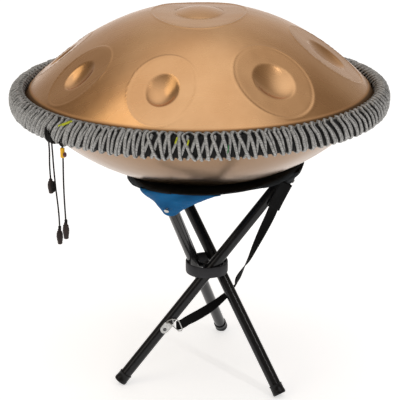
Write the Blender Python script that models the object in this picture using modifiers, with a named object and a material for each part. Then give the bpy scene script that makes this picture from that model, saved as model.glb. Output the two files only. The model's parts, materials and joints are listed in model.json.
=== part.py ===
"""Handpan with a rope-wrapped rim, resting on its folding tripod stool.

Metres, +Z up. The origin is on the floor, straight under the handpan's axis.
The stool's legs cross at a hub below the pan. Each leg is built upright in its own
frame (local Z up the leg, local Y along its pivot) and stood at its lean by an empty.
"""
import math

import bmesh
import bpy
import numpy as np
from mathutils import Matrix, Vector
from mathutils.geometry import delaunay_2d_cdt

MM = 0.001
GAP = 0.3 * MM  # air left between neighbouring pieces

# ---- handpan ----
RING_Z = 0.4615  # joint plane of the two shells
SHEET = 1.2 * MM  # steel thickness
GLUE = 0.6 * MM
FLANGE_R = 0.280
FLANGE_ROOT_R = 0.2600
BOWL_R = 0.257  # where dome and bowl turn down into the flange
BOWL_RISE = 0.013  # height over the joint plane at BOWL_R
DOME_H = 0.131
DOME_POWER = 2.2
BOWL_DEPTH = 0.1228
BOWL_POWER = 2.6
PORT_R = 0.050
PORT_NECK = 0.016
RING_STEPS = 48

# note fields: azimuth and distance from the axis, half sizes of the outline, half sizes of the dimple;
# each pair of half sizes is along the slope, then across it
NOTES = (
    (-145.7, 0.2065, 0.0590, 0.0450, 0.0275, 0.0220),
    (-104.4, 0.2055, 0.0615, 0.0475, 0.0285, 0.0235),
    (-58.7, 0.1990, 0.0670, 0.0585, 0.0320, 0.0300),
    (-8.8, 0.1920, 0.0690, 0.0615, 0.0340, 0.0315),
    (46.0, 0.2000, 0.0650, 0.0550, 0.0310, 0.0275),
    (93.0, 0.2050, 0.0620, 0.0485, 0.0290, 0.0240),
    (136.5, 0.2065, 0.0590, 0.0455, 0.0275, 0.0225),
    (175.7, 0.2075, 0.0575, 0.0435, 0.0265, 0.0215),
)
DIMPLE_DEPTH = 0.0075
OUTLINE_POINTS = 20
CENTRE_HALF_X = 0.0715  # flat oval in the middle of the dome
CENTRE_HALF_Y = 0.0874
CENTRE_PLATEAU = 0.1185
BUMP_HALF_X = 0.038
BUMP_HALF_Y = 0.050
BUMP_H = 0.007

# ---- rope round the rim ----
ROPE_R = 0.2740  # middle of the rope's section
ROPE_HALF_W = 0.0130
ROPE_HALF_H = 0.0200
ROPE_SQUARE = 2.4  # superellipse exponent of the section
ROPE_WALL = 0.0052
ROPE_MOUTH = 2.2 * MM  # half the slot that the flange sits in
CORE_R = 0.2738
CORE_Z = 0.0088
CORE_RADIUS = 0.0054

# ---- hanging cords ----
TIE_R = 0.283
TIE_Z = 0.4445
CORD_RADIUS = 1.0 * MM
TOGGLE_RADIUS = 5.0 * MM
TOGGLE_BORE = 1.4 * MM

# ---- stool ----
HUB = Vector((0.0103, -0.0143, 0.1831))
LEAN = math.radians(39.45)  # each leg from the vertical
FOOT_AZIMUTHS = (72.2, 312.2, 192.2)
LEG_OFFSET = 0.0194  # each leg passes the hub's axis at this distance
TUBE_R = 9.0 * MM
TUBE_WALL = 1.2 * MM
LEG_STEPS = 16
LEG_TOP_R = 0.127  # leg tops from the hub's axis
CAP_R = 10.5 * MM
CAP_LENGTH = 17 * MM
CAP_BASE = 2.7 * MM
FOOT_FLAT = 2.0 * MM  # rubber pressed flat by the floor
ARM_R = 2.5 * MM
ARM_HOLE_R = 2.8 * MM
SHOULDER_R = 4.0 * MM
COLLAR_R = 34.3 * MM
COLLAR_WALL = 3.4 * MM
COLLAR_H = 18 * MM

# ---- fabric seat ----
SEAT_CORNER_R = 0.152
SEAT_SIDE_R = 0.122
SEAT_CLOTH = 1.6 * MM
SEAT_SIDE_Z = 0.3475
SEAT_CORNER_Z = 0.3560
HEM_H = 7 * MM
SEAT_STEP = 12  # degrees between the cloth's columns
POCKET_CLOTH = 1.2 * MM
POCKET_MOUTH_R = 0.110  # height of the mouth, given as the leg's distance from the hub's axis
POCKET_TOP_Z = 0.3525
POCKET_SHIFT = 0.002  # how far the top sits to the side that the leg passes on
# each ring of a pocket: share of the way up, distance out from the hub's axis, half depth, half width
POCKET_RINGS = ((0.0, 0.1100, 0.0130, 0.0136), (0.33, 0.1170, 0.0150, 0.0275),
                (0.67, 0.1215, 0.0195, 0.0440), (1.0, 0.1225, 0.0195, 0.0520))
RIVET_R = 1.4 * MM
RIVET_UP = 0.1900  # above the pivot along the leg
RIVET_TURN = 180  # degrees round the leg from its foot's side
RIVET_HEAD = 0.0155  # underside of the head from the leg's axis

# ---- carrying strap on leg 3 ----
CLIP_DOWN = 0.1175  # rivet, below the pivot along the leg
CLIP_W = 14 * MM
CLIP_T = 1.2 * MM
CLIP_END_DOWN = 0.1055  # rolled eye, below the pivot
WIRE_R = 0.9 * MM
STRAP_W = 15 * MM
STRAP_T = 1.4 * MM


def polar(radius, azimuth_deg, z=0.0):
    angle = math.radians(azimuth_deg)
    return Vector((radius * math.cos(angle), radius * math.sin(angle), z))


# ------------------------------------------------------------------ scene helpers

def clear_scene():
    for obj in list(bpy.data.objects):
        bpy.data.objects.remove(obj, do_unlink=True)


def make_collection(name):
    coll = bpy.data.collections.new(name)
    bpy.context.scene.collection.children.link(coll)
    return coll


def make_material(name, color, roughness, metallic=0.0):
    mat = bpy.data.materials.new(name)
    mat.use_nodes = True
    shader = mat.node_tree.nodes["Principled BSDF"]
    shader.inputs["Base Color"].default_value = (*color, 1.0)
    shader.inputs["Roughness"].default_value = roughness
    shader.inputs["Metallic"].default_value = metallic
    mat.diffuse_color = (*color, 1.0)
    return mat


def add_object(name, data, material, parent=None, matrix=None):
    obj = bpy.data.objects.new(name, data)
    PARTS.objects.link(obj)
    if material is not None:
        data.materials.append(material)
    obj.parent = parent
    if matrix is not None:
        obj.matrix_local = matrix
    return obj


def add_cutter(name, data, parent=None, matrix=None):
    obj = bpy.data.objects.new(name, data)
    CUTTERS.objects.link(obj)
    obj.parent = parent
    if matrix is not None:
        obj.matrix_local = matrix
    obj.hide_render = True
    obj.display_type = "WIRE"
    return obj


def add_empty(name, matrix, parent=None):
    obj = bpy.data.objects.new(name, None)
    PARTS.objects.link(obj)
    obj.empty_display_size = 0.02
    obj.parent = parent
    obj.matrix_local = matrix
    return obj


def smooth(obj, angle_deg=35):
    obj.data.shade_smooth()
    obj.data.set_sharp_from_angle(angle=math.radians(angle_deg))


def boolean(obj, cutter, operation="DIFFERENCE"):
    mod = obj.modifiers.new(operation.title(), "BOOLEAN")
    mod.operation = operation
    mod.object = cutter
    mod.solver = "EXACT"


def turned(points, steps, closed=False):
    """Mesh of a profile in the XZ plane; a Screw modifier turns it about Z."""
    mesh = bpy.data.meshes.new("profile")
    edges = [(i, i + 1) for i in range(len(points) - 1)]
    if closed:
        edges.append((len(points) - 1, 0))
    mesh.from_pydata([(x, 0.0, z) for x, z in points], edges, [])
    mesh["steps"] = steps
    return mesh


def turn(obj):
    mod = obj.modifiers.new("Turn", "SCREW")
    mod.steps = mod.render_steps = obj.data["steps"]
    mod.use_merge_vertices = True
    mod.merge_threshold = 0.00001
    mod.use_smooth_shade = True
    return obj


def solidify(obj, thickness, offset=0.0):
    mod = obj.modifiers.new("Thickness", "SOLIDIFY")
    mod.thickness = thickness
    mod.offset = offset
    mod.use_even_offset = True


def cylinder_mesh(radius, depth, segments=16):
    bm = bmesh.new()
    bmesh.ops.create_cone(bm, cap_ends=True, segments=segments, radius1=radius, radius2=radius, depth=depth)
    mesh = bpy.data.meshes.new("cylinder")
    bm.to_mesh(mesh)
    bm.free()
    return mesh


def box_mesh(size):
    bm = bmesh.new()
    bmesh.ops.create_cube(bm, size=1.0)
    bmesh.ops.scale(bm, vec=size, verts=bm.verts)
    mesh = bpy.data.meshes.new("box")
    bm.to_mesh(mesh)
    bm.free()
    return mesh


def evaluated_mesh(obj, name):
    """A curve or a modified object as a plain mesh in world space, with its caps welded; obj is removed."""
    bpy.context.view_layer.update()
    graph = bpy.context.evaluated_depsgraph_get()
    mesh = bpy.data.meshes.new_from_object(obj.evaluated_get(graph))
    mesh.name = name
    mesh.transform(obj.matrix_world)
    bm = bmesh.new()
    bm.from_mesh(mesh)
    bmesh.ops.remove_doubles(bm, verts=bm.verts, dist=0.00001)
    bm.to_mesh(mesh)
    bm.free()
    bpy.data.objects.remove(obj, do_unlink=True)
    return mesh


def poly_curve(name, points, radius, resolution=1, cyclic=False):
    curve = bpy.data.curves.new(name, "CURVE")
    curve.dimensions = "3D"
    curve.bevel_depth = radius
    curve.bevel_resolution = resolution
    curve.use_fill_caps = not cyclic
    spline = curve.splines.new("POLY")
    spline.points.add(len(points) - 1)
    for point, co in zip(spline.points, points):
        point.co = (*co, 1.0)
    spline.use_cyclic_u = cyclic
    return curve


def loft_mesh(sections, closed=True, cap_first=False):
    """Quads between sections of equal point count; closed joins each section's last point to its first."""
    count = len(sections[0])
    verts = [tuple(p) for section in sections for p in section]
    faces = []
    for row in range(len(sections) - 1):
        for col in range(count if closed else count - 1):
            here = row * count + col
            beside = row * count + (col + 1) % count
            faces.append((here, beside, beside + count, here + count))
    if cap_first:
        faces.append(tuple(range(count)))
    mesh = bpy.data.meshes.new("loft")
    mesh.from_pydata(verts, [], faces)
    bm = bmesh.new()
    bm.from_mesh(mesh)
    bmesh.ops.recalc_face_normals(bm, faces=bm.faces)
    bm.to_mesh(mesh)
    bm.free()
    return mesh


# ------------------------------------------------------------------ handpan shells

def dome_height(radius):
    """Height of the top shell's mid surface over the joint plane."""
    return BOWL_RISE + (DOME_H - BOWL_RISE) * (1 - (radius / BOWL_R) ** DOME_POWER)


def bowl_depth(radius):
    return BOWL_RISE + (BOWL_DEPTH - BOWL_RISE) * (1 - (radius / BOWL_R) ** BOWL_POWER)


def bowl_underside(radius):
    """Height of the bottom shell's outer face."""
    return RING_Z - bowl_depth(min(radius, BOWL_R)) - SHEET / 2


def flange_points(mid):
    """The turn from the shell's wall into its flat flange, as radius and height."""
    return [(BOWL_R + 0.0010, 0.0090), (BOWL_R + 0.0021, 0.0045), (FLANGE_ROOT_R + 0.0002, mid + 0.0006),
            (FLANGE_ROOT_R + 0.0022, mid), (FLANGE_R, mid)]


def oval(half_along, half_across, count, share=1.0):
    angles = [2 * math.pi * i / count for i in range(count)]
    return [(half_along * share * math.cos(a), half_across * share * math.sin(a)) for a in angles]


def onto_dome(point, direction):
    """Slide a point along a direction until it lies on the plain dome."""
    for _ in range(6):
        point = point - direction * ((point.z - dome_height(math.hypot(point.x, point.y))) / direction.z)
    return point


def note_rings(azimuth, radius, half_along, half_across, dimple_along, dimple_across):
    """Rings of one note field, outline first: a flattened oval with a dimple in the middle."""
    out = polar(1.0, azimuth)
    slope = (dome_height(radius + 0.001) - dome_height(radius - 0.001)) / 0.002
    down = (out + Vector((0, 0, slope))).normalized()
    across = Vector((-out.y, out.x, 0))
    normal = down.cross(across)
    centre = out * radius + Vector((0, 0, dome_height(radius)))
    outline = [onto_dome(centre + down * u + across * v, normal)
               for u, v in oval(half_along, half_across, OUTLINE_POINTS)]
    sunk = -sum((p - centre).dot(normal) for p in outline) / len(outline)

    def ring(along, wide, count, share, depth):
        return [centre + down * u + across * v - normal * (sunk + depth)
                for u, v in oval(along, wide, count, share)]

    return [outline, ring(half_along, half_across, OUTLINE_POINTS, 0.88, 0.0),
            ring(dimple_along, dimple_across, 14, 1.0, 0.0),
            ring(dimple_along, dimple_across, 10, 0.62, DIMPLE_DEPTH * 0.62),
            ring(dimple_along, dimple_across, 1, 0.0, DIMPLE_DEPTH)]


def centre_rings():
    """The flat oval on top of the dome, with its low bump."""
    def ring(half_x, half_y, count, share, height):
        return [Vector((x, y, height)) for x, y in oval(half_x, half_y, count, share)]

    outline = [onto_dome(p, Vector((0, 0, 1))) for p in ring(CENTRE_HALF_X, CENTRE_HALF_Y, 24, 1.0, 0.0)]
    return [outline, ring(CENTRE_HALF_X, CENTRE_HALF_Y, 24, 0.9, CENTRE_PLATEAU),
            ring(BUMP_HALF_X, BUMP_HALF_Y, 16, 1.0, CENTRE_PLATEAU),
            ring(BUMP_HALF_X, BUMP_HALF_Y, 10, 0.6, CENTRE_PLATEAU + BUMP_H * 0.66),
            ring(BUMP_HALF_X, BUMP_HALF_Y, 1, 0.0, CENTRE_PLATEAU + BUMP_H)]


def dome_sheet(rim):
    """Mid surface of the top shell, meshed so the creases of the fields follow edges."""
    fields = [note_rings(*note) for note in NOTES] + [centre_rings()]
    circles = [[polar(r, 360 * i / RING_STEPS, z) for i in range(RING_STEPS)] for r, z in rim]
    loops = [ring for field in fields for ring in field] + circles
    points = [p for loop in loops for p in loop]
    edges, start = [], 0
    for loop in loops:
        if len(loop) > 2:
            edges += [(start + i, start + (i + 1) % len(loop)) for i in range(len(loop))]
        start += len(loop)
    for radius, count in ((0.112, 24), (0.140, 32)):
        for i in range(count):
            spot = polar(radius, 360 * i / count, dome_height(radius))
            if min((spot - p).length for p in points) > 0.012 and not inside_field(spot, fields):
                points.append(spot)
    flat = [p.to_2d() for p in points]
    _, _, faces, sources, _, _ = delaunay_2d_cdt(flat, edges, [], 0, 1e-7)
    mesh = bpy.data.meshes.new("top_shell")
    mesh.from_pydata([points[source[0]] for source in sources], [], faces)
    return mesh


def inside_field(spot, fields):
    """Whether a point lies within the outline of any field, seen from above."""
    for field in fields:
        outline = field[0]
        turns = [(b - a).to_2d().cross((spot - a).to_2d())
                 for a, b in zip(outline, outline[1:] + outline[:1])]
        if min(turns) > 0 or max(turns) < 0:
            return True
    return False


def build_top_shell():
    mid = (GLUE + SHEET) / 2 + GAP
    rim = [(BOWL_R, dome_height(BOWL_R)), *flange_points(mid)]
    mesh = dome_sheet(rim)
    mesh.transform(Matrix.Translation((0, 0, RING_Z)))
    shell = add_object("top_shell", mesh, BRONZE)
    solidify(shell, SHEET)
    smooth(shell)


def build_bottom_shell():
    mid = (GLUE + SHEET) / 2 + GAP
    flange = [(r, -z) for r, z in reversed(flange_points(mid))]
    wall = [(r, -bowl_depth(r)) for r in np.linspace(0.248, PORT_R + 0.014, 5)]
    floor = -bowl_depth(PORT_R)
    neck = [(PORT_R + 0.004, floor + 0.0012), (PORT_R, floor + 0.0050), (PORT_R - 0.001, floor + PORT_NECK)]
    bowl = add_object("bottom_shell", turned(flange + wall + neck, RING_STEPS), BRONZE,
                      matrix=Matrix.Translation((0, 0, RING_Z)))
    turn(bowl)
    solidify(bowl, SHEET)


def build_glue_seam():
    inner = FLANGE_ROOT_R + 0.003
    section = [(FLANGE_R, GLUE / 2), (FLANGE_R, -GLUE / 2), (inner, -GLUE / 2), (inner, GLUE / 2)]
    seam = add_object("rim_glue_seam", turned(section, RING_STEPS, closed=True), ADHESIVE,
                      matrix=Matrix.Translation((0, 0, RING_Z)))
    turn(seam)


# ------------------------------------------------------------------ rope and cords

def rope_section():
    """C-shaped section of the wound rope: outer face top to bottom, then back up the inside."""
    def superellipse(half_w, half_h, angle):
        c, s = math.cos(angle), math.sin(angle)
        power = 2 / ROPE_SQUARE
        return (ROPE_R + half_w * math.copysign(abs(c) ** power, c),
                half_h * math.copysign(abs(s) ** power, s))

    outer = [superellipse(ROPE_HALF_W, ROPE_HALF_H, a) for a in np.radians(np.linspace(163, -163, 13))]
    across, up = ROPE_HALF_W - ROPE_WALL, ROPE_HALF_H - ROPE_WALL
    upper = [(-across, ROPE_MOUTH), (-across, up - 0.004), (-across + 0.0035, up), (across - 0.0035, up),
             (across, up - 0.004)]
    cavity = [(ROPE_R + x, z) for x, z in upper]
    lip = [(ROPE_R - ROPE_HALF_W + 0.0004, ROPE_MOUTH)]
    return (lip + outer + [(r, -z) for r, z in lip] + [(r, -z) for r, z in cavity] + cavity[::-1])


def build_rope():
    centre = Matrix.Translation((0, 0, RING_Z))
    turn(add_object("rim_rope", turned(rope_section(), RING_STEPS, closed=True), ROPE, matrix=centre))
    for name, side in (("rope_core_upper", 1), ("rope_core_lower", -1)):
        circle = [(CORE_R + CORE_RADIUS * math.sin(a), side * CORE_Z + CORE_RADIUS * math.cos(a))
                  for a in np.radians(np.arange(0, 360, 60))]
        turn(add_object(name, turned(circle, RING_STEPS, closed=True), ROPE, matrix=centre))


def build_cord(number, azimuth, path, toggle_length, sleeve=None):
    """One hanging cord. path holds (sideways, downward) steps from the tie; the toggle grips its end."""
    out = polar(1.0, azimuth)
    side = Vector((-out.y, out.x, 0))
    frame = Matrix((out, side, Vector((0, 0, 1)))).transposed().to_4x4()
    frame.translation = polar(TIE_R, azimuth, TIE_Z)
    pivot = add_empty(f"cord_{number}_tie", frame)
    points = [(0.0, sideways, -down) for sideways, down in path]
    add_object(f"cord_{number}", poly_curve(f"cord_{number}", points, CORD_RADIUS), CORD, pivot)
    _, end_side, end_z = points[-1]
    half = toggle_length / 2
    profile = [(TOGGLE_BORE, half), (TOGGLE_RADIUS - 0.0012, half), (TOGGLE_RADIUS, half - 0.0012),
               (TOGGLE_RADIUS, -half + 0.0012), (TOGGLE_RADIUS - 0.0012, -half), (TOGGLE_BORE, -half)]
    place = Matrix.Translation((0, end_side, end_z + 0.001 + half - 0.003))
    turn(add_object(f"cord_toggle_{number}", turned(profile, 12, closed=True), CORD, pivot, place))
    if sleeve:
        start, end = sleeve
        tube = [(CORD_RADIUS + 0.0022, -start), (CORD_RADIUS + 0.0022, -end),
                (CORD_RADIUS + GAP, -end), (CORD_RADIUS + GAP, -start)]
        turn(add_object("cord_sleeve", turned(tube, 10, closed=True), YELLOW, pivot))


def build_cords():
    build_cord(1, -137.1, [(0, 0.0010), (0, 0.030), (0, 0.0735)], 0.0215)
    build_cord(2, -135.8, [(0, 0.0010), (0.001, 0.030), (0.0045, 0.060), (0.0085, 0.098), (0.0085, 0.1455)],
               0.0230)
    build_cord(3, -131.3, [(0, 0.0010), (0, 0.025), (0, 0.1340)], 0.0245, sleeve=(0.0030, 0.0165))


# ------------------------------------------------------------------ stool frame

def leg_frame(azimuth):
    """Pivot frame of a leg: local Z up the leg, local Y along the pivot, foot towards azimuth."""
    out = polar(1.0, azimuth)
    tangent = Vector((-out.y, out.x, 0))
    up = -out * math.sin(LEAN) + Vector((0, 0, math.cos(LEAN)))
    frame = Matrix((tangent.cross(up), tangent, up)).transposed().to_4x4()
    frame.translation = HUB + tangent * LEG_OFFSET
    return frame


LEG_UP = LEG_TOP_R / math.sin(LEAN)
LEG_DOWN = (HUB.z - CAP_R * math.sin(LEAN) + FOOT_FLAT) / math.cos(LEAN)
ACROSS = Matrix.Rotation(math.radians(-90), 4, "X")  # turns local Z onto local Y


def build_leg(number, azimuth, floor_cutter):
    pivot = add_empty(f"leg_{number}_pivot", leg_frame(azimuth))
    bore = TUBE_R - TUBE_WALL
    tube_end = -(LEG_DOWN - CAP_BASE - GAP)
    tube = add_object(f"leg_tube_{number}", turned([(TUBE_R, LEG_UP), (TUBE_R, tube_end), (bore, tube_end),
                                                    (bore, LEG_UP)], LEG_STEPS, closed=True), TUBE, pivot)
    turn(tube)
    boolean(tube, add_cutter(f"pivot_hole_{number}", cylinder_mesh(ARM_HOLE_R, 0.03, 12), pivot, ACROSS))

    inner = TUBE_R + GAP
    top = -LEG_DOWN + CAP_LENGTH
    cup = [(inner, top), (CAP_R - 0.0006, top), (CAP_R, top - 0.0006), (CAP_R, -LEG_DOWN + 0.001),
           (CAP_R - 0.001, -LEG_DOWN), (0, -LEG_DOWN), (0, -LEG_DOWN + CAP_BASE),
           (inner, -LEG_DOWN + CAP_BASE)]
    cap = add_object(f"foot_cap_{number}", turned([*cup[1:], *cup[:2]], LEG_STEPS), RUBBER, pivot)
    turn(cap)
    boolean(cap, floor_cutter)

    stem = bore - GAP
    plug = [(0, LEG_UP + 0.0045), (0.0045, LEG_UP + 0.0038), (TUBE_R - 0.0008, LEG_UP + 0.0016),
            (TUBE_R, LEG_UP + GAP), (stem, LEG_UP + GAP), (stem, LEG_UP - 0.006), (0, LEG_UP - 0.006)]
    turn(add_object(f"top_plug_{number}", turned(plug, LEG_STEPS), RUBBER, pivot))
    return pivot, tube


def build_hub():
    place = Matrix.Translation(HUB)
    wall = COLLAR_R - COLLAR_WALL
    half = COLLAR_H / 2
    edge = 0.0008
    ring = [(COLLAR_R - edge, half), (COLLAR_R, half - edge), (COLLAR_R, -half + edge),
            (COLLAR_R - edge, -half), (wall + edge, -half), (wall, -half + edge), (wall, half - edge),
            (wall + edge, half)]
    turn(add_object("hub_collar", turned(ring, 36, closed=True), COLLAR, matrix=place))

    spider = add_object("hub_spider", cylinder_mesh(6.5 * MM, 10 * MM, 18), STEEL, matrix=place)
    shoulder_end = LEG_OFFSET - TUBE_R - 0.4 * MM
    arm_end = LEG_OFFSET + TUBE_R + 1.3 * MM
    nut_start = LEG_OFFSET + TUBE_R + GAP
    for number, azimuth in enumerate(FOOT_AZIMUTHS, 1):
        turn_to = Matrix.Rotation(math.radians(azimuth), 4, "Z") @ ACROSS
        pin = [(0, arm_end), (ARM_R, arm_end), (ARM_R, shoulder_end), (SHOULDER_R, shoulder_end),
               (SHOULDER_R, 0.0), (0, 0.0)]
        arm = turn(add_object(f"arm_{number}", turned(pin, 12), None, matrix=place @ turn_to))
        arm_cut = add_cutter(f"hub_arm_{number}", evaluated_mesh(arm, "hub_arm"))
        boolean(spider, arm_cut, "UNION")
        nut = cylinder_mesh(4.6 * MM, arm_end - nut_start - 0.1 * MM, 6)
        middle = Matrix.Translation((0, 0, (arm_end + nut_start - 0.1 * MM) / 2))
        nut = add_object(f"pivot_nut_{number}", nut, STEEL, matrix=place @ turn_to @ middle)
        hole = add_cutter(f"nut_hole_{number}", cylinder_mesh(ARM_HOLE_R, 0.01, 12),
                          matrix=place @ turn_to @ middle)
        boolean(nut, hole)


# ------------------------------------------------------------------ fabric seat

def seat_wave(azimuth_deg):
    """0 in the middle of a bowed side, 1 at a corner."""
    corner = FOOT_AZIMUTHS[0] + 180
    return ((1 + math.cos(math.radians(3 * (azimuth_deg - corner)))) / 2) ** 1.5


def seat_height(x, y):
    """Mid surface of the cloth: pressed under the bowl, then level out to the edge."""
    wave = seat_wave(math.degrees(math.atan2(y - HUB.y, x - HUB.x)))
    under = bowl_underside(max(math.hypot(x, y), PORT_R)) - SEAT_CLOTH / 2 - 2 * GAP
    return min(under, SEAT_SIDE_Z + (SEAT_CORNER_Z - SEAT_SIDE_Z) * wave)


def seat_point(azimuth_deg, share):
    edge = SEAT_SIDE_R + (SEAT_CORNER_R - SEAT_SIDE_R) * seat_wave(azimuth_deg)
    flat = Vector((HUB.x, HUB.y, 0)) + polar(edge * share, azimuth_deg)
    flat.z = seat_height(flat.x, flat.y)
    return flat


def build_seat_sheet():
    azimuths = np.arange(0, 360, SEAT_STEP) + FOOT_AZIMUTHS[0]
    rings = [[seat_point(a, share) for a in azimuths] for share in (0.22, 0.42, 0.58, 0.74, 0.88, 1.0)]
    mesh = loft_mesh(rings, cap_first=True)
    sheet = add_object("seat_sheet", mesh, NYLON)
    solidify(sheet, SEAT_CLOTH)
    smooth(sheet)


def build_hem(number, middle_azimuth):
    """Webbing that hangs from one bowed side of the seat."""
    rows = ([], [])
    for azimuth in middle_azimuth + np.arange(-3, 4) * SEAT_STEP:
        top = seat_point(azimuth, 0.985)
        top.z -= SEAT_CLOTH / 2 + 1.5 * MM
        rows[0].append(top)
        rows[1].append(top + Vector((0, 0, -HEM_H)))
    hem = add_object(f"seat_hem_{number}", loft_mesh(rows, closed=False), NYLON)
    solidify(hem, SEAT_CLOTH)


def pocket_sections(frame, azimuth):
    """Rings of a corner pocket, from its mouth round the leg up to the seat's corner."""
    out = polar(1.0, azimuth + 180)
    side = Vector((-out.y, out.x, 0))
    mouth = frame @ Vector((0, 0, POCKET_MOUTH_R / math.sin(LEAN)))
    mouth_out = -(frame.to_3x3() @ Vector((1, 0, 0)))
    shift = (mouth - HUB).dot(side)
    rings = []
    for share, middle, half_out, half_side in POCKET_RINGS:
        centre = HUB + out * middle + side * (shift * (1 - share) - POCKET_SHIFT * share)
        centre.z = mouth.z + (POCKET_TOP_Z - mouth.z) * share
        outward = mouth_out.lerp(out, min(2 * share, 1.0)).normalized()
        ring = []
        for angle in np.radians(np.arange(0, 360, 20)):
            point = centre + side * (half_side * math.cos(angle)) + outward * (half_out * math.sin(angle))
            below_seat = seat_height(point.x, point.y) - SEAT_CLOTH / 2 - 2 * MM
            point.z = min(point.z, below_seat - (1 - share) * 0.020)
            ring.append(point)
        rings.append(ring)
    return rings


def build_pocket(number, azimuth, pivot, tube):
    """Cloth funnel round the leg's top, held to the tube by a rivet near its mouth."""
    frame = leg_frame(azimuth)
    mesh = loft_mesh(pocket_sections(frame, azimuth))
    mesh.transform(frame.inverted())
    pocket = add_object(f"corner_pocket_{number}", mesh, BLUE if number == 1 else NYLON, pivot)
    solidify(pocket, POCKET_CLOTH)
    smooth(pocket)
    place = (Matrix.Translation((0, 0, RIVET_UP)) @ Matrix.Rotation(math.radians(RIVET_TURN), 4, "Z")
             @ Matrix.Rotation(math.radians(90), 4, "Y"))
    hole = add_cutter(f"pocket_hole_{number}", cylinder_mesh(RIVET_R + GAP, 0.02, 10), pivot,
                      place @ Matrix.Translation((0, 0, 0.014)))
    boolean(pocket, hole)
    boolean(tube, hole)
    head = RIVET_HEAD
    profile = [(0, head + 0.0022), (0.0022, head + 0.0018), (0.0036, head + 0.0007), (0.0037, head),
               (RIVET_R, head), (RIVET_R, TUBE_R - 0.003), (0, TUBE_R - 0.003)]
    turn(add_object(f"pocket_rivet_{number}", turned(profile, 12), ZINC, pivot, place))


# ------------------------------------------------------------------ carrying strap

def build_clip(pivot, tube):
    """Sheet-metal plate riveted along leg 3, with a rolled eye that holds the wire ring."""
    face = TUBE_R + GAP
    rivet_z = -CLIP_DOWN
    eye_out, eye_in = 2.1 * MM, 1.25 * MM
    plate_top = -CLIP_END_DOWN - eye_out + 0.6 * MM
    length = plate_top - rivet_z
    body = add_object("clip_block", box_mesh((CLIP_W, CLIP_T, length)), None, pivot,
                      Matrix.Translation((0, face + CLIP_T / 2, rivet_z + length / 2)))
    body_mesh = evaluated_mesh(body, "strap_clip")
    body_mesh.transform(pivot_matrix(pivot).inverted())
    clip = add_object("strap_clip", body_mesh, ZINC, pivot)
    flat = Matrix.Translation((0, face + CLIP_T / 2, rivet_z)) @ ACROSS
    round_end = add_cutter("clip_round_end", cylinder_mesh(CLIP_W / 2, CLIP_T, 24), pivot, flat)
    boolean(clip, round_end, "UNION")
    along_eye = (Matrix.Translation((0, face + eye_out, -CLIP_END_DOWN))
                 @ Matrix.Rotation(math.radians(90), 4, "Y"))
    eye = add_cutter("clip_eye", cylinder_mesh(eye_out, CLIP_W - 6 * MM, 14), pivot, along_eye)
    boolean(clip, eye, "UNION")
    boolean(clip, add_cutter("clip_eye_bore", cylinder_mesh(eye_in, 0.03, 10), pivot, along_eye))
    shank = add_cutter("clip_rivet_hole", cylinder_mesh(1.6 * MM, 0.012, 10), pivot,
                       Matrix.Translation((0, TUBE_R, rivet_z)) @ ACROSS)
    boolean(clip, shank)
    boolean(tube, shank)
    head = face + CLIP_T + 0.1 * MM
    rivet = [(0, head + 0.0004), (0.0007, head + 0.0004), (0.0008, head + 0.0011), (0.0020, head + 0.0010),
             (0.0028, head + 0.0004), (0.0028, head), (0.0013, head), (0.0013, TUBE_R - 0.004),
             (0, TUBE_R - 0.004)]
    turn(add_object("clip_rivet", turned(rivet, 12), ZINC, pivot,
                    Matrix.Translation((0, 0, rivet_z)) @ ACROSS))


def pivot_matrix(pivot):
    bpy.context.view_layer.update()
    return pivot.matrix_world.copy()


def build_ring(pivot):
    """Bent wire ring with a middle bar, hinged in the clip's eye; the webbing ends behind it."""
    level = TUBE_R + GAP + 2.1 * MM
    hinge = add_empty("strap_ring_pivot", Matrix.Translation((0, level, -CLIP_END_DOWN)), pivot)
    corners = [(0.0060, 0.0, 0.0), (0.0056, 0.0, 0.0030), (0.0022, 0.0, 0.0086), (-0.0060, 0.0, 0.0127),
               (-0.0108, 0.0, 0.0114), (-0.0228, 0.0, 0.0044), (-0.0232, 0.0, 0.0010),
               (-0.0200, 0.0, -0.0014), (-0.0075, 0.0, 0.0)]
    loop = add_object("ring_loop", poly_curve("ring_loop", corners, WIRE_R, cyclic=True), None, hinge)
    mesh = evaluated_mesh(loop, "strap_ring")
    mesh.transform(pivot_matrix(hinge).inverted())
    ring = add_object("strap_ring", mesh, ZINC, hinge)
    bar = poly_curve("ring_bar", [Vector((0.0012, 0, 0.0093)), Vector((-0.0098, 0, -0.0002))], WIRE_R * 0.85)
    bar = add_object("ring_bar", bar, None, hinge)
    boolean(ring, add_cutter("ring_middle_bar", evaluated_mesh(bar, "ring_bar")), "UNION")


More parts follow.
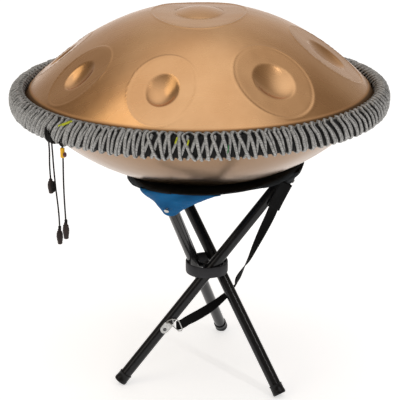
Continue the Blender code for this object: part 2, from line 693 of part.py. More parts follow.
def build_strap(pivot):
    """Slack webbing from corner 3, passing behind leg 2 to the wire ring."""
    path = (  # middle of the webbing, and how far it turns about its length from facing the front
        ((0.1322, -0.0370, 0.3285), 0), ((0.1244, -0.0345, 0.3115), 0), ((0.1157, -0.0285, 0.2900), 8),
        ((0.1084, -0.0205, 0.2673), 25), ((0.0975, -0.0145, 0.2400), 45), ((0.0870, -0.0115, 0.2150), 65),
        ((0.0775, -0.0100, 0.1925), 85), ((0.0680, -0.0095, 0.1755), 110), ((0.0605, -0.0095, 0.1600), 125),
        ((0.0570, -0.0090, 0.1480), 105), ((0.0510, -0.0080, 0.1385), 90), ((0.0400, -0.0130, 0.1300), 70),
        ((0.0240, -0.0250, 0.1210), 42), ((0.0078, -0.0365, 0.1143), 20), ((-0.0102, -0.0450, 0.1070), 6),
        ((-0.0202, -0.0491, 0.1033), 0), ((-0.0282, -0.0509, 0.0986), 0), ((-0.0345, -0.0523, 0.0964), 0),
        ((-0.0385, -0.0531, 0.0962), 0),
    )
    rows = ([], [])
    for index, (middle, turn_deg) in enumerate(path):
        before = Vector(path[max(index - 1, 0)][0])
        after = Vector(path[min(index + 1, len(path) - 1)][0])
        along = (after - before).normalized()
        width = along.cross(Vector((0, -1, 0))).normalized()
        width.rotate(Matrix.Rotation(math.radians(turn_deg), 3, along))
        rows[0].append(Vector(middle) - width * STRAP_W / 2)
        rows[1].append(Vector(middle) + width * STRAP_W / 2)
    mesh = loft_mesh(rows, closed=False)
    mesh.transform(pivot_matrix(pivot).inverted())
    solidify(add_object("carry_strap", mesh, NYLON, pivot), STRAP_T)


# ------------------------------------------------------------------ assembly

def build():
    build_top_shell()
    build_bottom_shell()
    build_glue_seam()
    build_rope()
    build_cords()
    build_hub()
    floor_cutter = add_cutter("floor", box_mesh((0.6, 0.6, 0.1)), matrix=Matrix.Translation((0, 0, -0.05)))
    for number, azimuth in enumerate(FOOT_AZIMUTHS, 1):
        pivot, tube = build_leg(number, azimuth, floor_cutter)
        build_pocket(number, azimuth, pivot, tube)
        build_hem(number, azimuth)
        if number == 3:
            build_clip(pivot, tube)
            build_ring(pivot)
            build_strap(pivot)
    build_seat_sheet()


clear_scene()
PARTS = make_collection("handpan")
CUTTERS = make_collection("cutters")
BRONZE = make_material("bronze_shell", (0.60, 0.36, 0.19), 0.32, 1.0)
ADHESIVE = make_material("adhesive", (0.15, 0.14, 0.12), 0.6)
ROPE = make_material("rope", (0.22, 0.22, 0.21), 0.9)
CORD = make_material("black_cord", (0.02, 0.02, 0.02), 0.6)
YELLOW = make_material("yellow_sleeve", (0.85, 0.60, 0.05), 0.6)
TUBE = make_material("black_tube", (0.015, 0.015, 0.016), 0.22)
RUBBER = make_material("rubber", (0.02, 0.02, 0.02), 0.7)
COLLAR = make_material("collar_rubber", (0.045, 0.045, 0.05), 0.55)
STEEL = make_material("plated_steel", (0.55, 0.55, 0.56), 0.35, 1.0)
NYLON = make_material("black_nylon", (0.012, 0.012, 0.013), 0.85)
BLUE = make_material("blue_nylon", (0.010, 0.13, 0.40), 0.75)
ZINC = make_material("zinc", (0.70, 0.70, 0.69), 0.35, 1.0)
build()
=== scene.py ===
"""Handpan on a folding three-legged stool: finished surfaces, rope, cloth, light and camera."""
import json
import math

import bpy
import numpy as np
from mathutils import Matrix, Quaternion, Vector


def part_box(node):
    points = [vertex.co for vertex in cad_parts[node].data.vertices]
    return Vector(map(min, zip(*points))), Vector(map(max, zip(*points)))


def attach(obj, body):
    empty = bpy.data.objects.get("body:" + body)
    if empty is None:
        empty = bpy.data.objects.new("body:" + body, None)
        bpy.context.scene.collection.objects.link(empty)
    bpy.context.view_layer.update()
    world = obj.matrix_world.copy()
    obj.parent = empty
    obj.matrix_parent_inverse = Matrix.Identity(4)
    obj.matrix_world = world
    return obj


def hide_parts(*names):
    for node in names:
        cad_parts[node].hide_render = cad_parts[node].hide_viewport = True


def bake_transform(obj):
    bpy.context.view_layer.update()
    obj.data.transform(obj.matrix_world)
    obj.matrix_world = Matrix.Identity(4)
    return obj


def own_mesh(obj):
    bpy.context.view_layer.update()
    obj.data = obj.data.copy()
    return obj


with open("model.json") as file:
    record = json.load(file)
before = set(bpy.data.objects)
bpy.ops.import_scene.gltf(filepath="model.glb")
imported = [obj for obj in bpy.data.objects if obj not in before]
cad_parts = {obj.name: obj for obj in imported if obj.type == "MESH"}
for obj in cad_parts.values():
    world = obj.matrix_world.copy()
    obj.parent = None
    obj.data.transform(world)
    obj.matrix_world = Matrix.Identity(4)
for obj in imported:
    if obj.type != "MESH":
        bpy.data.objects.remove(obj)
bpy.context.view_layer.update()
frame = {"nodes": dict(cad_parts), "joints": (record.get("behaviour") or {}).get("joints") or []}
NODES = frame["nodes"]
JOINTS = {joint["name"]: joint for joint in frame["joints"]}
RANDOM = np.random.default_rng(11)
MM = 0.001
TURN = 2 * math.pi


def middle(name):
    low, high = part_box(name)
    return (low + high) / 2


# ------------------------------------------------------------------ sizes, worked out from the frame

LEGS = (1, 2, 3)
PIVOTS = {n: Vector(JOINTS[f"leg_{n}_fold"]["pos_m"]) for n in LEGS}
PINS = {n: Vector(JOINTS[f"leg_{n}_fold"]["axis"]) for n in LEGS}
HUB = middle("hub_collar")
LEAN = math.radians(39.45)  # each leg from the vertical
RING_Z = middle("rim_rope").z  # joint plane of the two shells
ROPE_OUT = (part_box("rim_rope")[1].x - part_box("rim_rope")[0].x) / 2
ROPE_HALF_W = 0.0130
ROPE_HALF_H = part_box("rim_rope")[1].z - RING_Z
ROPE_R = ROPE_OUT - ROPE_HALF_W
ROPE_SQUARE = 2.4  # superellipse exponent of the rope's section
SHEET = 1.2 * MM  # steel thickness
FLANGE_R = 0.280
BOWL_R = 0.257  # where dome and bowl turn down into the flange
BOWL_RISE = 0.013  # height over the joint plane at BOWL_R
DOME_H = 0.131
DOME_POWER = 2.2
BOWL_DEPTH = 0.1228
BOWL_POWER = 2.6
PORT_R = 0.050
PORT_NECK = 0.016
FLANGE_MID = 1.2 * MM  # middle of each flange's sheet from the joint plane
NOTES = (  # azimuth, radius, field half lengths down the slope and across, dimple half lengths
    (-145.7, 0.2065, 0.0590, 0.0450, 0.0275, 0.0220),
    (-104.4, 0.2055, 0.0615, 0.0475, 0.0285, 0.0235),
    (-58.7, 0.1990, 0.0670, 0.0585, 0.0320, 0.0300),
    (-8.8, 0.1920, 0.0690, 0.0615, 0.0340, 0.0315),
    (46.0, 0.2000, 0.0650, 0.0550, 0.0310, 0.0275),
    (93.0, 0.2050, 0.0620, 0.0485, 0.0290, 0.0240),
    (136.5, 0.2065, 0.0590, 0.0455, 0.0275, 0.0225),
    (175.7, 0.2075, 0.0575, 0.0435, 0.0265, 0.0215),
)
DIMPLE_DEPTH = 0.0075
CENTRE_HALF = (0.0715, 0.0950)  # flattened oval in the middle of the dome
CENTRE_CROWN = 1.0 * MM
BUMP_HALF = (0.037, 0.047)  # low bump in the oval
BUMP_H = 0.0072
FIELD_START = 0.945  # share of a field where its flat part begins to turn into the dome
RIDGE_H = 0.65 * MM  # worked edge round each field

TUBE_R = 9.0 * MM
TUBE_WALL = 1.2 * MM
CAP_R = 10.5 * MM
CAP_LENGTH = 17 * MM
LEG_TOP_R = 0.127  # leg tops from the hub's axis
FOOT_FLAT = 2 * MM  # rubber pressed flat by the floor
LEG_UP = LEG_TOP_R / math.sin(LEAN)
LEG_DOWN = (HUB.z - CAP_R * math.sin(LEAN) + FOOT_FLAT) / math.cos(LEAN)
SEAT_CORNER_R = 0.152
SEAT_SIDE_R = 0.122
SEAT_SIDE_Z = 0.3475
SEAT_CORNER_Z = 0.3560
SEAT_CLOTH = 1.6 * MM
HEM_CLOTH = 1.4 * MM
POCKET_CLOTH = 1.2 * MM
STRAP_W = 15 * MM
STRAP_T = 1.4 * MM


def foot_azimuth(number):
    """Direction from the hub's axis to a leg's foot, a quarter turn back from its pivot pin."""
    pin = PINS[number]
    return math.degrees(math.atan2(pin.y, pin.x)) - 90


def leg_frame(number):
    """Pivot frame of a leg: local Z up the leg, local Y along the pivot pin."""
    azimuth = math.radians(foot_azimuth(number))
    out = Vector((math.cos(azimuth), math.sin(azimuth), 0))
    tangent = Vector((-out.y, out.x, 0))
    up = -out * math.sin(LEAN) + Vector((0, 0, math.cos(LEAN)))
    matrix = Matrix((tangent.cross(up), tangent, up)).transposed().to_4x4()
    matrix.translation = PIVOTS[number]
    return matrix


# ------------------------------------------------------------------ meshes

def grid_mesh(name, points, close_rows=False, close_columns=False, size=(1.0, 1.0)):
    """Quads over a (rows, columns, 3) array; UVs run over size metres across and along."""
    rows, columns = points.shape[:2]
    row, column = np.meshgrid(np.arange(rows if close_rows else rows - 1),
                              np.arange(columns if close_columns else columns - 1), indexing="ij")
    row, column = row.ravel(), column.ravel()
    next_row, next_column = (row + 1) % rows, (column + 1) % columns
    quads = np.stack([row * columns + column, row * columns + next_column,
                      next_row * columns + next_column, next_row * columns + column], 1)
    mesh = bpy.data.meshes.new(name)
    mesh.from_pydata(points.reshape(-1, 3).tolist(), [], quads.tolist())
    across = size[0] / (column.max() + 1)
    along = size[1] / (row.max() + 1)
    corners = np.stack([np.stack([(column + i) * across, (row + j) * along], 1)
                        for i, j in ((0, 0), (1, 0), (1, 1), (0, 1))], 1)
    mesh.uv_layers.new(name="UVMap").data.foreach_set("uv", corners.astype(np.float32).ravel())
    mesh.polygons.foreach_set("use_smooth", [True] * len(mesh.polygons))
    mesh.update()
    return mesh


def join_meshes(name, meshes):
    """One mesh from several, in the same place."""
    objects = [bpy.data.objects.new("part", mesh) for mesh in meshes]
    for obj in objects:
        bpy.context.collection.objects.link(obj)
    with bpy.context.temp_override(active_object=objects[0], selected_editable_objects=objects,
                                   selected_objects=objects):
        bpy.ops.object.join()
    mesh = objects[0].data
    mesh.name = name
    bpy.data.objects.remove(objects[0])
    return mesh


def lathe(name, profile, steps, matrix, closed=False, ripple=None):
    """Surface of revolution about local Z from (radius, height) pairs."""
    angle = TURN * np.arange(steps) / steps
    radius, height = np.array(profile, float).T
    rings = np.empty((len(profile), steps, 3))
    rings[..., 0] = np.outer(radius, np.cos(angle))
    rings[..., 1] = np.outer(radius, np.sin(angle))
    rings[..., 2] = height[:, None]
    length = np.hypot(np.diff(radius), np.diff(height)).sum()
    if ripple:
        rings = ripple(rings, angle)
    mesh = grid_mesh(name, rings, close_rows=closed, close_columns=True,
                     size=(TURN * radius.max(), length))
    mesh.transform(matrix)
    return mesh


ANY_SIDE = (0.31, 0.17, 0.93)  # a direction that no cord runs along


def tube_along(path, radius, sides, closed, beside):
    """Rings swept along a (points, 3) path without twisting, from a first side square to `beside`."""
    count = len(path)
    ahead = np.roll(path, -1, 0) - np.roll(path, 1, 0)
    if not closed:
        ahead[0], ahead[-1] = path[1] - path[0], path[-1] - path[-2]
    ahead /= np.linalg.norm(ahead, axis=1)[:, None]
    radius = np.broadcast_to(radius, (count,))
    rings = np.empty((count, sides, 3))
    side = np.cross(ahead[0], beside)
    angle = TURN * np.arange(sides) / sides
    for i in range(count):
        side = side - ahead[i] * side.dot(ahead[i])
        side /= np.linalg.norm(side)
        other = np.cross(ahead[i], side)
        rings[i] = path[i] + radius[i] * (np.outer(np.cos(angle), side) + np.outer(np.sin(angle), other))
    return rings


def tube_mesh(name, path, radius, sides=8, closed=False, beside=ANY_SIDE, across=None):
    """Tube with shut ends along a path, its UVs in metres round a radius of `across` or its own."""
    length = np.linalg.norm(np.diff(path, axis=0), axis=1).sum()
    rings = tube_along(path, radius, sides, closed, beside)
    if not closed:
        first, last = (np.repeat(path[[i], None], sides, 1) for i in (0, -1))
        rings = np.concatenate([first, rings, last])
    return grid_mesh(name, rings, close_rows=closed, close_columns=True,
                     size=(TURN * (across or float(np.max(radius))), length))


def smooth_path(points, count):
    """Catmull-Rom curve through a few points, sampled evenly."""
    points = np.asarray(points, float)
    padded = np.concatenate([2 * points[:1] - points[1:2], points, 2 * points[-1:] - points[-2:-1]])
    spans = len(points) - 1
    t = np.linspace(0, spans, count)
    i = np.minimum(t.astype(int), spans - 1)
    t = (t - i)[:, None]
    a, b, c, d = (padded[i + k] for k in range(4))
    return 0.5 * (2 * b + (c - a) * t + (2 * a - 5 * b + 4 * c - d) * t ** 2 + (3 * b - a - 3 * c + d) * t ** 3)


def smoothstep(low, high, value):
    share = np.clip((value - low) / (high - low), 0, 1)
    return share * share * (3 - 2 * share)


def ripples(points, wavelength, height, seed, waves=9):
    """Smooth random field made of a few crossing waves, one value for each point."""
    random = np.random.default_rng(seed)
    total = np.zeros(points.shape[:-1])
    for _ in range(waves):
        direction = random.normal(size=3)
        direction /= np.linalg.norm(direction) * wavelength * random.uniform(0.7, 1.6)
        total += np.sin(TURN * (points @ direction) + random.uniform(0, TURN))
    return total * height / math.sqrt(waves)


# ------------------------------------------------------------------ materials

def feed(tree, socket, value):
    """Link a value made by another node, or set a plain one."""
    if isinstance(value, bpy.types.NodeSocket):
        tree.links.new(value, socket)
    else:
        socket.default_value = value


def node(tree, kind, inputs=None, **settings):
    """A shader node with its inputs fed and its settings set."""
    made = tree.nodes.new(kind)
    for key, value in settings.items():
        setattr(made, key, value)
    for key, value in (inputs or {}).items():
        feed(tree, made.inputs[key], value)
    return made


def paint(tree, shader, **values):
    """Feed a shader's inputs, named with underscores for spaces."""
    for key, value in values.items():
        feed(tree, shader.inputs[key.replace("_", " ")], value)


def material(name, **fixed):
    """A Principled material with its plain values set, and its node tree."""
    made = bpy.data.materials.new(name)
    made.use_nodes = True
    shader = made.node_tree.nodes["Principled BSDF"]
    paint(made.node_tree, shader, **fixed)
    return made, made.node_tree, shader


def rgb(*color):
    return (*color, 1.0)


def coordinates(tree, kind="Object"):
    return node(tree, "ShaderNodeTexCoord").outputs[kind]


def split(tree, vector):
    return node(tree, "ShaderNodeSeparateXYZ", {"Vector": vector}).outputs


def noise(tree, scale, detail, where, roughness=0.5):
    inputs = {"Scale": scale, "Detail": detail, "Roughness": roughness, "Vector": where}
    return node(tree, "ShaderNodeTexNoise", inputs).outputs["Fac"]


def ramp(tree, factor, *stops):
    """Colour ramp from (position, colour) stops; a plain number stands for a grey."""
    made = node(tree, "ShaderNodeValToRGB", {"Fac": factor})
    elements = made.color_ramp.elements
    while len(elements) < len(stops):
        elements.new(0.5)
    for element, (position, color) in zip(elements, stops):
        element.position = position
        element.color = color if isinstance(color, tuple) else rgb(color, color, color)
    return made.outputs["Color"]


def math_node(tree, operation, *values):
    made = node(tree, "ShaderNodeMath", operation=operation)
    for socket, value in zip(made.inputs, values):
        feed(tree, socket, value)
    return made.outputs[0]


def times(tree, a, b):
    return math_node(tree, "MULTIPLY", a, b)


def plus(tree, a, b):
    return math_node(tree, "ADD", a, b)


def from_axis(tree, x, y):
    """Distance from the vertical axis."""
    return math_node(tree, "SQRT", plus(tree, times(tree, x, x), times(tree, y, y)))


def mix(tree, factor, a, b, blend="MIX"):
    made = node(tree, "ShaderNodeMix", data_type="RGBA", blend_type=blend)
    for index, value in ((0, factor), (6, a), (7, b)):  # a colour mix's own sockets
        feed(tree, made.inputs[index], value)
    return made.outputs[2]


def bump(tree, shader, height, strength, distance):
    made = node(tree, "ShaderNodeBump", {"Height": height, "Strength": strength, "Distance": distance})
    paint(tree, shader, Normal=made.outputs["Normal"])


def metres(tree):
    """The UVs, which are in metres across and along."""
    return split(tree, node(tree, "ShaderNodeUVMap", uv_map="UVMap").outputs["UV"])[:2]


def uv_waves(tree, across, along, skew=0.0):
    """Ribs over the UVs: the product of two sines with the given pitches in metres."""
    u, v = metres(tree)
    slanted = plus(tree, v, times(tree, u, skew))
    wave_u = math_node(tree, "SINE", times(tree, u, TURN / across))
    wave_v = math_node(tree, "SINE", times(tree, slanted, TURN / along))
    return math_node(tree, "MULTIPLY_ADD", times(tree, wave_u, wave_v), 0.5, 0.5)


def bronze_material(name, light, dark, roughness):
    """Heat-coloured bronze: satin metal with soft blotches and fine grain; painted shade darkens it under the
    rope, where it is also duller.
    """
    made, tree, shader = material(name, Metallic=1.0)
    where = coordinates(tree)
    patches = ramp(tree, noise(tree, 9.0, 4.0, where), (0.34, dark), (0.66, light))
    grain = ramp(tree, noise(tree, 120.0, 3.0, where), (0.3, rgb(0.98, 0.978, 0.97)), (0.7, rgb(1, 1, 1)))
    color = mix(tree, 1.0, patches, grain, "MULTIPLY")
    outward = math_node(tree, "DIVIDE", from_axis(tree, *split(tree, where)[:2]), FLANGE_R)
    # painted shade: the bronze is darkened to 30% where the sheet runs under the rope, which also hides glints
    # there
    rim = ramp(tree, outward, (0.907, 1.0), (0.914, 0.30))
    paint(tree, shader, Base_Color=mix(tree, 1.0, color, rim, "MULTIPLY"))
    stretched = node(tree, "ShaderNodeMapping", {"Vector": where, "Scale": (1.0, 4.0, 1.0)}).outputs["Vector"]
    gloss = ramp(tree, noise(tree, 12.0, 3.0, stretched), (0.3, roughness - 0.025), (0.7, roughness + 0.025))
    dull = ramp(tree, outward, (0.900, 0.0), (0.910, 0.45))
    paint(tree, shader, Roughness=plus(tree, gloss, dull))
    bump(tree, shader, noise(tree, 500.0, 2.0, where), 0.008, 0.0002)
    return made


def braid_material(name, light, dark, pitch, flank_r=0.0):
    """Braided cord: slanted ribs along the UVs, fuzz and uneven dye; flanks shaded where turns lie close."""
    made, tree, shader = material(name, Roughness=0.85, Specular_IOR_Level=0.2)
    ribs = uv_waves(tree, pitch * 2, pitch, 1.0)
    where = coordinates(tree)
    dye = ramp(tree, noise(tree, 380.0, 3.0, where), (0.38, dark), (0.62, light))
    shade = ramp(tree, ribs, (0.0, 0.35), (0.6, 1.0))
    color = mix(tree, 0.8, dye, shade, "MULTIPLY")
    if flank_r:
        outward = math_node(tree, "COSINE", times(tree, metres(tree)[0], 1 / flank_r))
        outward = math_node(tree, "MULTIPLY_ADD", outward, 0.5, 0.5)
        flank = ramp(tree, outward, (0.50, 0.06), (0.72, 0.52), (0.90, 1.0))
        color = mix(tree, 1.0, color, flank, "MULTIPLY")
    paint(tree, shader, Base_Color=color)
    fuzz = noise(tree, 2500.0, 2.0, where)
    height = plus(tree, ribs, times(tree, fuzz, 0.5))
    bump(tree, shader, height, 0.6, 0.0004)
    return made


def cloth_material(name, light, dark, pitch, roughness=0.8, creases=0.0):
    """Plain-woven nylon, with worn and faded patches and, where asked, slanting creases."""
    made, tree, shader = material(name, Roughness=roughness, Specular_IOR_Level=0.12)
    weave = uv_waves(tree, pitch * 2, pitch * 2)
    where = coordinates(tree)
    fade = ramp(tree, noise(tree, 28.0, 5.0, where), (0.32, dark), (0.70, light))
    shade = ramp(tree, weave, (0.0, 0.62), (1.0, 1.0))
    paint(tree, shader, Base_Color=mix(tree, 0.7, fade, shade, "MULTIPLY"))
    height = plus(tree, weave, times(tree, noise(tree, 90.0, 4.0, where), 1.2))
    if creases:
        slanted = node(tree, "ShaderNodeMapping",
                       {"Vector": where, "Rotation": (0.0, 0.6, 0.0), "Scale": (0.35, 1.0, 1.0)})
        creased = noise(tree, 70.0, 2.0, slanted.outputs["Vector"])
        height = plus(tree, height, times(tree, creased, creases))
    bump(tree, shader, height, 0.5, 0.0004)
    return made


def enamel_material(name, color, roughness):
    """Gloss paint over a drawn tube: faint orange peel, scuffs and dust."""
    made, tree, shader = material(name, Specular_IOR_Level=0.3)
    where = coordinates(tree)
    scuffs = noise(tree, 150.0, 6.0, where, 0.7)
    dusty = tuple(c * 2.2 + 0.004 for c in color[:3])
    paint(tree, shader, Base_Color=ramp(tree, scuffs, (0.52, color), (0.80, rgb(*dusty))))
    paint(tree, shader, Roughness=ramp(tree, scuffs, (0.5, roughness), (0.8, roughness + 0.06)))
    bump(tree, shader, noise(tree, 60.0, 1.0, where), 0.010, 0.0002)
    return made


def rubber_material(name, color, roughness):
    """Moulded rubber: fine pebbled grain, lighter where dust sits."""
    made, tree, shader = material(name, Specular_IOR_Level=0.25)
    where = coordinates(tree)
    dust = noise(tree, 70.0, 5.0, where)
    pale = tuple(c * 1.7 + 0.002 for c in color[:3])
    paint(tree, shader, Base_Color=ramp(tree, dust, (0.35, color), (0.75, rgb(*pale))))
    paint(tree, shader, Roughness=ramp(tree, dust, (0.3, roughness - 0.06), (0.7, roughness + 0.08)))
    bump(tree, shader, noise(tree, 420.0, 3.0, where), 0.3, 0.0003)
    return made


def metal_material(name, light, dark, roughness):
    """Plated steel: bright metal with dull patches and fine scratches."""
    made, tree, shader = material(name, Metallic=1.0)
    where = coordinates(tree)
    dull = noise(tree, 220.0, 5.0, where, 0.65)
    scratched = node(tree, "ShaderNodeMapping", {"Vector": where, "Scale": (1.0, 1.0, 12.0)}).outputs["Vector"]
    paint(tree, shader, Base_Color=ramp(tree, dull, (0.35, dark), (0.65, light)))
    paint(tree, shader, Roughness=ramp(tree, dull, (0.3, roughness + 0.12), (0.7, roughness)))
    bump(tree, shader, noise(tree, 900.0, 2.0, scratched), 0.15, 0.0002)
    return made


BRONZE = bronze_material("bronze_dome", rgb(0.638, 0.366, 0.176), rgb(0.556, 0.298, 0.134), 0.27)
# painted shade: the bowl uses the dome's bronze with its colours darkened to about half
BRONZE_BOWL_SHADED = bronze_material("bronze_bowl_painted_shade", rgb(0.345, 0.212, 0.120), rgb(0.308, 0.182, 0.095), 0.22)
SEAM = rubber_material("rim_adhesive", rgb(0.06, 0.05, 0.04), 0.6)
STRAND_R = 2.35 * MM
ROPE = braid_material("rope_grey", rgb(0.57, 0.565, 0.55), rgb(0.34, 0.337, 0.328), 2.2 * MM,
                      flank_r=STRAND_R)
# painted shade: a darker copy of the grey rope for the lacing loops recessed under the winding
ROPE_LACED_SHADED = braid_material("rope_grey_lacing_painted_shade", rgb(0.36, 0.355, 0.34), rgb(0.20, 0.196, 0.188), 2.2 * MM)
ROPE_INSIDE = braid_material("rope_shadowed_core", rgb(0.020, 0.020, 0.020), rgb(0.010, 0.010, 0.010), 2.5 * MM)
CORD = braid_material("cord_black", rgb(0.022, 0.019, 0.018), rgb(0.010, 0.009, 0.009), 1.1 * MM)
CORD_END = rubber_material("cord_end_brown_black", rgb(0.022, 0.014, 0.012), 0.45)
YELLOW = rubber_material("yellow_sleeve_rubber", rgb(0.78, 0.42, 0.02), 0.5)
THREAD = braid_material("thread_yellow_green", rgb(0.70, 0.72, 0.05), rgb(0.45, 0.50, 0.03), 1.0 * MM)
THREAD_GREEN = braid_material("thread_green", rgb(0.06, 0.30, 0.10), rgb(0.03, 0.18, 0.06), 1.0 * MM)
BEAD = rubber_material("bead_plum", rgb(0.10, 0.035, 0.045), 0.35)
TUBE = enamel_material("tube_black_enamel", rgb(0.008, 0.008, 0.009), 0.15)
RUBBER = rubber_material("foot_rubber", rgb(0.004, 0.004, 0.0045), 0.30)
COLLAR = rubber_material("collar_dark_rubber", rgb(0.020, 0.020, 0.023), 0.5)
# near-black steel for the hub spider inside the collar, much darker than the plated pieces
STEEL_NEAR_BLACK = metal_material("steel_near_black", rgb(0.030, 0.030, 0.032), rgb(0.015, 0.015, 0.016), 0.45)
STEEL = metal_material("steel_plated", rgb(0.16, 0.16, 0.165), rgb(0.09, 0.09, 0.095), 0.34)
ZINC = metal_material("zinc_bright", rgb(0.66, 0.66, 0.65), rgb(0.46, 0.46, 0.45), 0.34)
NYLON = cloth_material("nylon_black", rgb(0.022, 0.026, 0.030), rgb(0.010, 0.012, 0.014), 0.9 * MM)
BLUE = cloth_material("nylon_blue", rgb(0.001, 0.135, 0.345), rgb(0.001, 0.085, 0.235), 0.8 * MM, 0.62, 14.0)
WEBBING = cloth_material("webbing_black", rgb(0.011, 0.011, 0.012), rgb(0.005, 0.005, 0.005), 1.3 * MM)


def piece(name, mesh, look, slot, *nodes):
    """A shown object made from a mesh, standing for CAD nodes."""
    obj = bpy.data.objects.new(name, mesh)
    bpy.context.collection.objects.link(obj)
    mesh.materials.clear()
    mesh.materials.append(look)
    if nodes:
        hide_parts(*nodes)
    return obj


def ride(body, name, mesh, look, slot, *nodes):
    """A piece that moves with one body."""
    obj = piece(name, mesh, look, slot, *nodes)
    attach(obj, body)
    return obj


def thicken(obj, name, thickness, offset):
    """Give a sheet its thickness, about its middle (offset 0) or to one side."""
    solid = obj.modifiers.new(name, "SOLIDIFY")
    solid.thickness, solid.offset = thickness, offset


# ------------------------------------------------------------------ handpan shells

def dome_height(radius):
    """Top of the dome over the joint plane."""
    return BOWL_RISE + (DOME_H - BOWL_RISE) * (1 - (radius / BOWL_R) ** DOME_POWER)


def bowl_depth(radius):
    """Bowl's sheet under the joint plane."""
    return BOWL_RISE + (BOWL_DEPTH - BOWL_RISE) * (1 - (radius / BOWL_R) ** BOWL_POWER)


def flange_points():
    """Bend from dome or bowl into its flange, as (radius, height) pairs."""
    root = BOWL_R + 3 * MM
    return [(BOWL_R + 0.0010, 0.0090), (BOWL_R + 0.0021, 0.0045), (root + 0.0002, FLANGE_MID + 0.0006),
            (root + 0.0022, FLANGE_MID), (FLANGE_R, FLANGE_MID)]


RIM_ROUNDS = 6  # rounds in which a field's rim is brought onto the dome


def field_plane(note):
    """Tangent frame of one note field: middle, down the slope, across, normal and how far it is sunk."""
    azimuth, radius, half_along, half_across = math.radians(note[0]), *note[1:4]
    out = np.array((math.cos(azimuth), math.sin(azimuth), 0))
    slope = (dome_height(radius + 0.001) - dome_height(radius - 0.001)) / 0.002
    down = (out + (0, 0, slope)) / math.hypot(1, slope)
    across = np.array((-out[1], out[0], 0))
    normal = np.cross(down, across)
    centre = out * radius + (0, 0, dome_height(radius))
    angle = np.radians(np.arange(0, 360, 18))[:, None]
    rim = centre + down * half_along * np.cos(angle) + across * half_across * np.sin(angle)
    for _ in range(RIM_ROUNDS):
        gap = rim[:, 2] - dome_height(np.hypot(rim[:, 0], rim[:, 1]))
        rim -= normal * (gap / normal[2])[:, None]
    sunk = -((rim - centre) @ normal).mean()
    return centre, down, across, normal, sunk


def field_ridge(share):
    """Worked edge of a field: a ridge at its rim and a shallow groove just inside."""
    ridge = np.exp(-((share - 0.990) / 0.018) ** 2)
    groove = np.exp(-((share - 0.945) / 0.022) ** 2)
    return RIDGE_H * (ridge - 0.5 * groove)


def press_field(z, x, y, note):
    """Flatten the dome inside a note field and press its dimple."""
    centre, down, across, normal, sunk = field_plane(note)
    plane = centre[2] - (normal[0] * (x - centre[0]) + normal[1] * (y - centre[1]) + sunk) / normal[2]
    offset = np.stack([x, y, plane], -1) - centre
    u, v = offset @ down, offset @ across
    share = np.hypot(u / note[2], v / note[3])
    dimple = np.hypot(u / note[4], v / note[5])
    pressed = plane - DIMPLE_DEPTH * np.clip(1 - dimple ** 2, 0, 1) ** 0.95 / normal[2]
    return pressed + (z - pressed) * smoothstep(FIELD_START, 1.0, share) + field_ridge(share)


def press_centre(z, x, y):
    """The flattened oval on top of the dome, level with it at its edge, and its low bump."""
    share = np.hypot(x / CENTRE_HALF[0], y / CENTRE_HALF[1])
    bulge = np.hypot(x / BUMP_HALF[0], y / BUMP_HALF[1])
    edge = dome_height(np.hypot(x, y) / np.maximum(share, 0.01))
    edge_middle = dome_height((CENTRE_HALF[0] + CENTRE_HALF[1]) / 2)
    flat = edge_middle + (edge - edge_middle) * smoothstep(0.3, 1.0, share) + CENTRE_CROWN * (1 - share ** 2)
    flat += BUMP_H * np.clip(1 - bulge ** 2, 0, 1) + field_ridge(bulge * 0.97)
    return flat + (z - flat) * smoothstep(0.975, 1.0, share) + field_ridge(share)


DOME_ROWS, DOME_COLUMNS = 184, 560


def build_top_shell():
    angle = TURN * np.arange(DOME_COLUMNS) / DOME_COLUMNS
    radius = np.concatenate([[0.0001], np.linspace(0.003, BOWL_R, DOME_ROWS)])  # too small a hole to see
    r, a = np.meshgrid(radius, angle, indexing="ij")
    x, y = r * np.cos(a), r * np.sin(a)
    z = dome_height(r)
    for note in NOTES:
        z = press_field(z, x, y, note)
    z = press_centre(z, x, y)
    surface = np.stack([x, y, z], -1)
    fade = 1 - smoothstep(BOWL_R - 0.02, BOWL_R, r)
    dents = ripples(surface, 0.075, 0.20 * MM, 3), ripples(surface, 0.020, 0.03 * MM, 4)
    surface[..., 2] += fade * dents[0] + fade * dents[1]
    rim_r, rim_z = np.array(flange_points()).T
    rim = np.stack([np.outer(rim_r, np.cos(angle)), np.outer(rim_r, np.sin(angle)),
                    np.repeat(rim_z[:, None], len(angle), 1)], -1)
    points = np.concatenate([surface, rim])
    points[..., 2] += RING_Z
    shell = piece("dome_shell", grid_mesh("dome_shell", points, close_columns=True), BRONZE, "bronze_shell",
                  "top_shell")
    thicken(shell, "sheet", SHEET, 0)
    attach(shell, "pan")


def build_bottom_shell():
    flange = [(r, -z) for r, z in reversed(flange_points())]
    wall = [(r, -bowl_depth(r)) for r in np.linspace(BOWL_R, PORT_R + 0.010, 60)]
    floor = -bowl_depth(PORT_R)
    neck = [(PORT_R + 0.0065, floor + 0.0002), (PORT_R + 0.004, floor + 0.0012), (PORT_R + 0.0018, floor + 0.0028),
            (PORT_R, floor + 0.0050), (PORT_R - 0.0006, floor + 0.010), (PORT_R - 0.001, floor + PORT_NECK)]

    def waver(rings, angle):
        inside = (rings[..., 2] < -0.012)[..., None]
        rings[..., 2:] += inside * ripples(rings, 0.08, 0.18 * MM, 8)[..., None]
        return rings

    mesh = lathe("bowl_shell", flange + wall + neck, 220, Matrix.Translation((0, 0, RING_Z)), ripple=waver)
    shell = piece("bowl_shell", mesh, BRONZE_BOWL_SHADED, "bronze_shell", "bottom_shell")
    thicken(shell, "sheet", SHEET, 0)
    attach(shell, "pan")


# ------------------------------------------------------------------ rope wound over the rim

